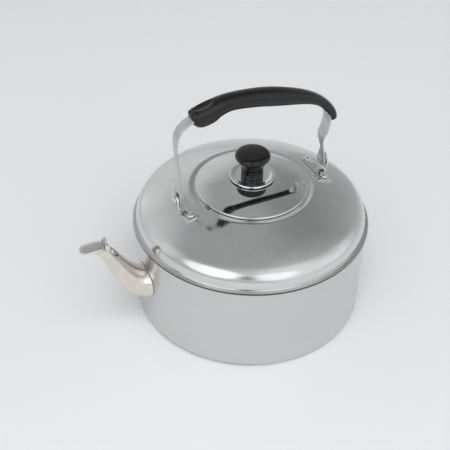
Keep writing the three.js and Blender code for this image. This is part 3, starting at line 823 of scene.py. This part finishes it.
def build_whistle_flap():
    """The flap's domed cover, its hinge barrel and arm, and the thumb tab over the hinge."""
    cover = skinned("flap_cover", flap_rings(FLAP_SKIN)[::-1] + flap_rings(0))
    half = 4
    bore = 0.95
    outside = 1.6
    edge = 0.3
    barrel_outline = [
        (bore, -half),
        (outside - edge, -half),
        (outside, edge - half),
        (outside, half - edge),
        (outside - edge, half),
        (bore, half),
    ]
    barrel = revolved("flap_barrel", barrel_outline, 32, along_y(hinge_x, hinge_z))
    arm = block("flap_arm", (hinge_x - 2.6, -3, hinge_z + 0.4), (hinge_x - 0.4, 3, hinge_z + 1.6))
    tab_low = (hinge_x - 0.9, -3.8, hinge_z + 1.1)
    tab_high = (hinge_x + 0.9, 3.8, flap_high.z)
    tab = block("flap_tab", tab_low, tab_high, 0.35)
    flap = cut(cover, barrel, arm, tab, operation="UNION")
    place(bevelled(flap, 0.18, 2), "flap", "nickelled_steel", satin_nickel, "whistle_flap")


# ---- bail ----

ENDS = (("front", -1), ("rear", 1))
SIDES = (("left", 1), ("right", -1))

# Along the strap: share of the pivots' distance out, height over them, and half width.
strap_rows = [
    (-1, 0, 7),
    (-1, 14, 4.9),
    (-0.995, 30, 4.2),
    (-1.01, 47, 2.8),
    (-1.022, 61, 3.6),
    (-1.01, 72, 5.2),
    (-0.95, 80.5, 6),
    (-0.81, 87.5, 6),
    (-0.62, 92.5, 6),
    (-0.33, 96, 6),
    (0, 93.9, 6),
    (0.36, 87.6, 6),
    (0.65, 80.5, 6),
    (0.86, 72.5, 6),
    (0.985, 62, 6),
    (1.025, 50, 6.8),
    (1.0, 38, 7.2),
    (0.963, 29.5, 6.2),
    (0.972, 22, 3.4),
    (0.992, 15.5, 2.4),
    (1, 9, 4.6),
    (1, 0, 7),
]


def strap_section(station, steps=4):
    """The strap's section: a flat bar with rounded edges."""
    centre, across, high, wide = station
    edge = min(0.7, wide * 0.9)
    ring = []
    for side, up, start in ((1, 1, 0), (-1, 1, 90), (-1, -1, 180), (1, -1, 270)):
        for k in range(steps + 1):
            angle = math.radians(start + 90 * k / steps)
            y = side * (wide - edge) + edge * math.cos(angle)
            x = up * (high - edge) + edge * math.sin(angle)
            ring.append(centre + across * x + SIDEWAYS * y)
    return ring


def build_strap():
    """The bent strap, with round ends bored for the pivot rivets."""
    rows = [(share * pivot_x, pivot_z + up, HALF_THICKNESS, half) for share, up, half in strap_rows]
    made = stations(rows, 260)
    end_radius = rows[0][3]

    def round_end(station, angles):
        """Stations that round off a leg below its pivot, at angles in degrees."""
        centre, across, high, _ = station
        sideways = Vector((math.copysign(1, across.x), 0, 0))
        ends = []
        for degrees in angles:
            angle = math.radians(degrees)
            point = Vector((centre.x, 0, pivot_z - end_radius * math.sin(angle)))
            ends.append((point, sideways, high, end_radius * math.cos(angle)))
        return ends

    angles = list(range(4, 90, 5))
    sections = [*round_end(made[0], angles[::-1]), *made, *round_end(made[-1], angles)]
    strap = skinned("bail_strap", [strap_section(station) for station in sections])
    bore = 2.9
    reach = pivot_x + 5
    hole = [(0, -reach), (bore, -reach), (bore, reach), (0, reach)]
    strap = cut(strap, revolved("strap_hole", hole, 40, along_x(0, 0, pivot_z)))
    place(strap, "bail", "satin_strap", strap_metal, "bail_strap")


# Along the grip: share of the pivots' distance out, height over them, half height, half width.
grip_rows = [
    (-0.825, 88.5, 5, 7.8),
    (-0.78, 88.8, 8.4, 9),
    (-0.7, 88.6, 10.6, 9.8),
    (-0.61, 90.2, 10.8, 10),
    (-0.49, 94, 9, 9.6),
    (-0.33, 96.2, 8.1, 9.2),
    (0, 93.9, 8.7, 9.6),
    (0.19, 91, 9, 9.8),
    (0.36, 87.8, 8.6, 9.6),
    (0.55, 83.8, 7.6, 9),
    (0.73, 79, 6.2, 8.5),
    (0.87, 73.2, 5.2, 8.1),
    (0.98, 65.5, 5, 8),
    (1.055, 56.5, 5.4, 8),
    (1.08, 49, 5.2, 7.8),
]


def grip_cap(end, neighbour, size, shape):
    """Rings that round off an end of the grip, from its tip inwards."""
    outwards = (end[0] - neighbour[0]).normalized()
    rings = []
    for degrees in (88, 80, 70, 60, 50, 40, 30, 20, 10):
        angle = math.radians(degrees)
        centre = end[0] + outwards * (size * math.sin(angle) - size)
        rings.append(section((centre, *end[1:]), shape, size * (math.cos(angle) - 1)))
    return rings


def thumb_rest(station):
    """A long egg that scoops a shallow rest for the thumb out of the grip's top."""
    centre, across, high, _ = station
    length, width, depth = 25, 15, 2.2
    outline = [
        (width * math.cos(math.radians(degrees)), length * math.sin(math.radians(degrees)))
        for degrees in range(-90, 91, 6)
    ]
    along = Vector((across.z, 0, -across.x))
    middle = centre + across * (high + width - depth)
    return revolved("thumb_rest", outline, 64, along_normal(middle, along))


def end_pocket(sections):
    """The hollow under the grip's rear end, round the strap."""
    corners = [
        (-1.7, -0.66), (-1.7, 0.66), (-0.35, 0.66), (-0.08, 0.5), (-0.08, -0.5), (-0.35, -0.66)
    ]
    beyond = sections[-1][0] * 2 - sections[-3][0]
    sections = [*sections, (beyond, *sections[-1][1:])]
    return skinned("end_pocket", [section(station, corners) for station in sections])


def build_grip():
    """The moulded grip, with a thumb rest in its top and a pocket in its rear end."""
    rows = [(share * pivot_x, pivot_z + up, high, wide) for share, up, high, wide in grip_rows]
    count = 150
    thumb_at = int(0.20 * count)
    pocket_from = int(0.88 * count)
    made = stations(rows, count)
    shape = oval(64, 2.2)
    front_round = 4.5
    rear_round = 3.0
    front = grip_cap(made[0], made[1], front_round, shape)
    rear = grip_cap(made[-1], made[-2], rear_round, shape)
    body = [section(station, shape) for station in made[4:-3]]  # the caps fill the rest
    grip = skinned("grip", front + body + rear[::-1])
    grip = cut(grip, thumb_rest(made[thumb_at]), end_pocket(made[pocket_from:]))
    place(bevelled(grip, 0.5), "bail", "black_phenolic", phenolic, "bail_grip")


def build_brackets():
    """The two L brackets, from their CAD solids."""
    for name, _ in ENDS:
        soften("bracket_" + name + "_plate", "bracket_" + name, 0.35, "polished_steel", polished)


def rivet_outline(shank, head_radius, head_height, grip):
    """A rivet whose head sits on zero, with its shank and set tail below."""
    tail_radius = head_radius * 0.75
    tail_height = head_height * 0.6
    head = [
        (
            head_radius * math.cos(math.radians(degrees)),
            head_height * math.sin(math.radians(degrees)),
        )
        for degrees in range(0, 91, 9)
    ]
    return [
        (0, -grip - tail_height),
        (tail_radius * 0.7, -grip - tail_height),
        (tail_radius, -grip - tail_height * 0.4),
        (tail_radius, -grip),
        (shank, -grip),
        (shank, 0),
        *head,
    ]


def build_bracket_rivet(name, end, side_name, side):
    """A rivet square to the dome, through the bracket's foot and the dome."""
    setback = 10.5  # from the ear's outer face
    spacing = 33
    bracket_sheet = 1.6
    x = end * (bracket_high.x - setback)
    y = side * spacing / 2
    radius = math.hypot(x, y)
    step = 1  # either side of the rivet, to find the dome's slope
    fall = dome_height(radius - step) - dome_height(radius + step)
    normal = Vector((x / radius * fall, y / radius * fall, 2 * step)).normalized()
    seat = bracket_sheet + 2.4 * GAP
    foot = Vector((x, y, dome_height(radius))) + normal * seat
    outline = rivet_outline(
        shank=2, head_radius=3.8, head_height=2, grip=seat + SHEET + 1.5 * GAP
    )
    rivet = revolved(f"rivet_{name}_{side_name}", outline, SMALL_SIDES, along_normal(foot, normal))
    place(rivet, "kettle", "polished_steel", polished, f"bracket_rivet_{name}_{side_name}")


def build_pivot_rivet(name, end):
    """A rivet along X through the bracket's ear, the washer and the strap."""
    node = "pivot_rivet_" + name
    low, high = box_mm(node)
    head_height = 1.8
    head_face = (high.x if end > 0 else -low.x) - head_height
    grip = head_face - (pivot_x - HALF_THICKNESS - GAP)
    outline = rivet_outline(shank=2.6, head_radius=4.6, head_height=head_height, grip=grip)
    turn = along_x(end * head_face, 0, pivot_z, end)
    pivot = revolved("pivot_" + name, outline, SMALL_SIDES, turn)
    place(pivot, "kettle", "polished_steel", polished, node)


def build_rivets():
    """Two rivets in each bracket's foot and one in its ear."""
    for name, end in ENDS:
        for side_name, side in SIDES:
            build_bracket_rivet(name, end, side_name, side)
        build_pivot_rivet(name, end)


# ---- lid ----


def lid_height(radius):
    """The height of the lid's upper face, flat under the dish and steepest at the edge."""
    rise = 9.5
    steepening = 2.4
    share = max(radius - WELL_RADIUS, 0) / (lid_high.x - WELL_RADIUS)
    return lid_high.z - rise * share**steepening


def build_lid():
    """The lid's pressing, with its edge rolled under."""
    edge = lid_high.x
    turn_in = 3.4
    crown = [(radius, lid_height(radius)) for radius in range(52, 4, -3)]
    path = [
        *rounded([
            (edge - turn_in, lid_low.z),
            (edge, lid_low.z, 1.2),
            (edge, lid_height(edge) + 0.2, 1.3),
            (edge - 3, lid_height(edge - 3)),
        ]),
        *crown,
        (SCREW_HOLE, lid_high.z),
    ]
    place(revolved("lid", sheet_outline(path)), "lid", "polished_steel", polished, "lid_shell")


def build_skirt():
    """The ring under the lid that drops into the neck."""
    low, high = box_mm("lid_skirt")
    outer = high.x
    lip = 8
    inner = outer - lip
    below = SHEET + 1.5 * GAP
    path = rounded([
        (outer, low.z),
        (outer, lid_height(outer) - below, 1.2),
        (inner, lid_height(inner) - below),
    ])
    place(revolved("lid_skirt_ring", sheet_outline(path)), "lid", "satin_steel", satin, "lid_skirt")


def build_dish():
    """The chromed dish under the knob: a rolled rim, a shallow slope and a well."""
    edge = dish_high.x
    top = dish_high.z
    floor = lid_high.z + GAP + SHEET
    rim_height = 1.6
    rim_width = 2.6
    well_edge = 10.4
    path = rounded([
        (edge, top - rim_height),
        (edge, top, 0.7),
        (edge - rim_width, top, 1.6),
        (edge - 6, top - 1.2, 4),
        (well_edge, top - 1.1, 1),
        (WELL_RADIUS, floor, 0.6),
        (SCREW_HOLE, floor),
    ])
    place(revolved("dish", sheet_outline(path), 128), "lid", "chromed_dish", chrome, "knob_dish")


def build_knob():
    """The turned knob, bored from below for its threaded insert."""
    bottom = knob_low.z
    top = knob_high.z
    widest = knob_high.x
    stem = 11.2
    bore = 4.3
    bore_depth = 10.6
    groove = stem - 0.5
    flare = [
        (stem, top - 19),
        (stem + 0.2, top - 17),
        (stem + 1.4, top - 13.2),
        (widest - 1, top - 7.4),
        (widest, top - 5.2),
        (widest - 0.4, top - 3.2),
        (widest - 2.4, top - 1.4),
        (widest / 2, top - 0.3),
        (0, top),
    ]
    points = [Vector(point) for point in flare]
    steps = 64
    curve = [tuple(catmull(points, i / steps)) for i in range(steps)]
    outline = [
        (0, bottom + bore_depth),
        (bore, bottom + bore_depth),
        *rounded([
            (bore, bottom + 9),
            (bore, bottom, 0.3),
            (stem, bottom, 0.5),
            (stem, bottom + 2.8, 0.3),
            (groove, bottom + 3, 0.2),
            (groove, bottom + 3.5, 0.2),
            (stem, bottom + 3.7, 0.3),
            (stem, bottom + 6),
        ], 4),
        *curve,
        (0, top),
    ]
    place(revolved("knob_grip", outline, 128), "lid", "black_phenolic", phenolic, "knob")


def finish_hidden_parts():
    """Gives the CAD solids that stay their procedural finish."""
    finishes = {
        "knob_insert": brass,
        "knob_washer": satin,
        "knob_screw": satin,
        "whistle_plate_upper": brass,
        "whistle_plate_lower": brass,
        "pivot_washer_front": polished,
        "pivot_washer_rear": polished,
    }
    for node, material in finishes.items():
        data = frame["nodes"][node].data
        data.materials.clear()
        data.materials.append(material)


# ---- floor, light and camera ----


def build_floor():
    """A pale floor just under the base, so that the two don't share a plane."""
    size = 6.0
    drop = 0.0002
    mesh = bpy.data.meshes.new("floor")
    corners = [(-size, -size, 0), (size, -size, 0), (size, size, 0), (-size, size, 0)]
    mesh.from_pydata(corners, [], [(0, 1, 2, 3)])
    floor = bpy.data.objects.new("floor", mesh)
    bpy.context.scene.collection.objects.link(floor)
    floor.location.z = -drop
    material, add, shader, coordinates = new_material("paper_floor")
    mottle = noise(add, coordinates, 3.0, 3.0)
    feed(shader, {"Base Color": blend_colours(add, mottle, (0.80, 0.81, 0.82), (0.82, 0.83, 0.84))})
    shader.inputs["Roughness"].default_value = 0.9
    mesh.materials.append(material)


# The studio's light by direction: towards, brightness added there, and the cosines from that
# direction at which it starts and is full. A negative brightness is a dark flag.
LIGHT_LOBES = [
    ((0, 0, 1), 0.42, -1.0, -0.9),
    ((-0.15, -0.90, 0.50), 0.22, 0.45, 0.85),
    ((-0.44, -0.78, 0.44), -0.32, 0.975, 0.995),
    ((-0.78, -0.38, 0.52), 0.75, 0.865, 0.95),
    ((-0.05, -0.86, 0.46), 0.40, 0.91, 0.975),
    ((0.50, -0.78, 0.48), 0.30, 0.55, 0.85),
    ((-0.90, -0.10, 0.30), 0.16, 0.60, 1.0),
    ((-0.62, 0.69, 0.33), 0.30, 0.75, 0.95),
    ((0.97, -0.15, -0.10), 0.26, 0.50, 0.95),
    ((0.10, 0.98, 0.10), 0.30, 0.80, 1.0),
    ((0.85, 0.15, 0.65), -0.12, 0.70, 0.95),
]


def build_world():
    """A pale studio: an even grey all round, with soft lights and dark flags at its sides."""
    world = bpy.data.worlds.new("studio")
    bpy.context.scene.world = world
    world.use_nodes = True
    world.node_tree.nodes.clear()
    add = node_maker(world)
    direction = add("ShaderNodeTexCoord").outputs["Generated"]
    total = None
    for target, strength, near, far in LIGHT_LOBES:
        toward = add(
            "ShaderNodeVectorMath",
            {0: direction, 1: Vector(target).normalized()},
            operation="DOT_PRODUCT",
        ).outputs["Value"]
        lobe = add(
            "ShaderNodeMapRange",
            {"Value": toward, "From Min": near, "From Max": far, "To Min": 0.0, "To Max": strength},
            interpolation_type="SMOOTHSTEP",
        ).outputs["Result"]
        total = total_of(add, total, lobe) if total else lobe
    background = add("ShaderNodeBackground", {"Color": (0.99, 1.0, 1.01, 1), "Strength": total})
    add("ShaderNodeOutputWorld", {"Surface": background.outputs["Background"]})


def build_fill_light():
    """A large soft lamp over the front of the kettle, left out of the reflections."""
    location = Vector((-0.3, -0.9, 1.8))
    target = Vector((-0.1, -0.3, 0))
    data = bpy.data.lights.new("fill", "AREA")
    data.size = 1.2
    data.energy = 15
    lamp = bpy.data.objects.new("fill", data)
    bpy.context.scene.collection.objects.link(lamp)
    lamp.location = location
    lamp.rotation_euler = (target - location).to_track_quat("-Z", "Y").to_euler()
    lamp.visible_glossy = False


def build_camera():
    """The camera looks 39.5 degrees down and 27 degrees off the Y axis, with a slight roll."""
    data = bpy.data.cameras.new("camera")
    data.lens = 73.87
    data.sensor_width = 36
    camera = bpy.data.objects.new("camera", data)
    bpy.context.scene.collection.objects.link(camera)
    location = Vector((-0.3592, -0.6480, 0.6960))
    forward = Vector((0.3504, 0.6877, -0.6358)).normalized()
    right = forward.cross(Vector((0, 0, 1))).normalized()
    up = right.cross(forward)
    roll = math.radians(1.14)
    x_axis = right * math.cos(roll) + up * math.sin(roll)
    y_axis = up * math.cos(roll) - right * math.sin(roll)
    matrix = Matrix((x_axis, y_axis, -forward)).transposed().to_4x4()
    camera.matrix_world = Matrix.Translation(location) @ matrix
    bpy.context.scene.camera = camera


build_camera()
build_world()
build_floor()
build_fill_light()
build_body()
build_dome()
build_spout()
build_hinge()
build_whistle_flap()
build_strap()
build_grip()
build_brackets()
build_rivets()
build_lid()
build_skirt()
build_dish()
build_knob()
finish_hidden_parts()

bpy.context.scene.view_settings.view_transform = "Standard"
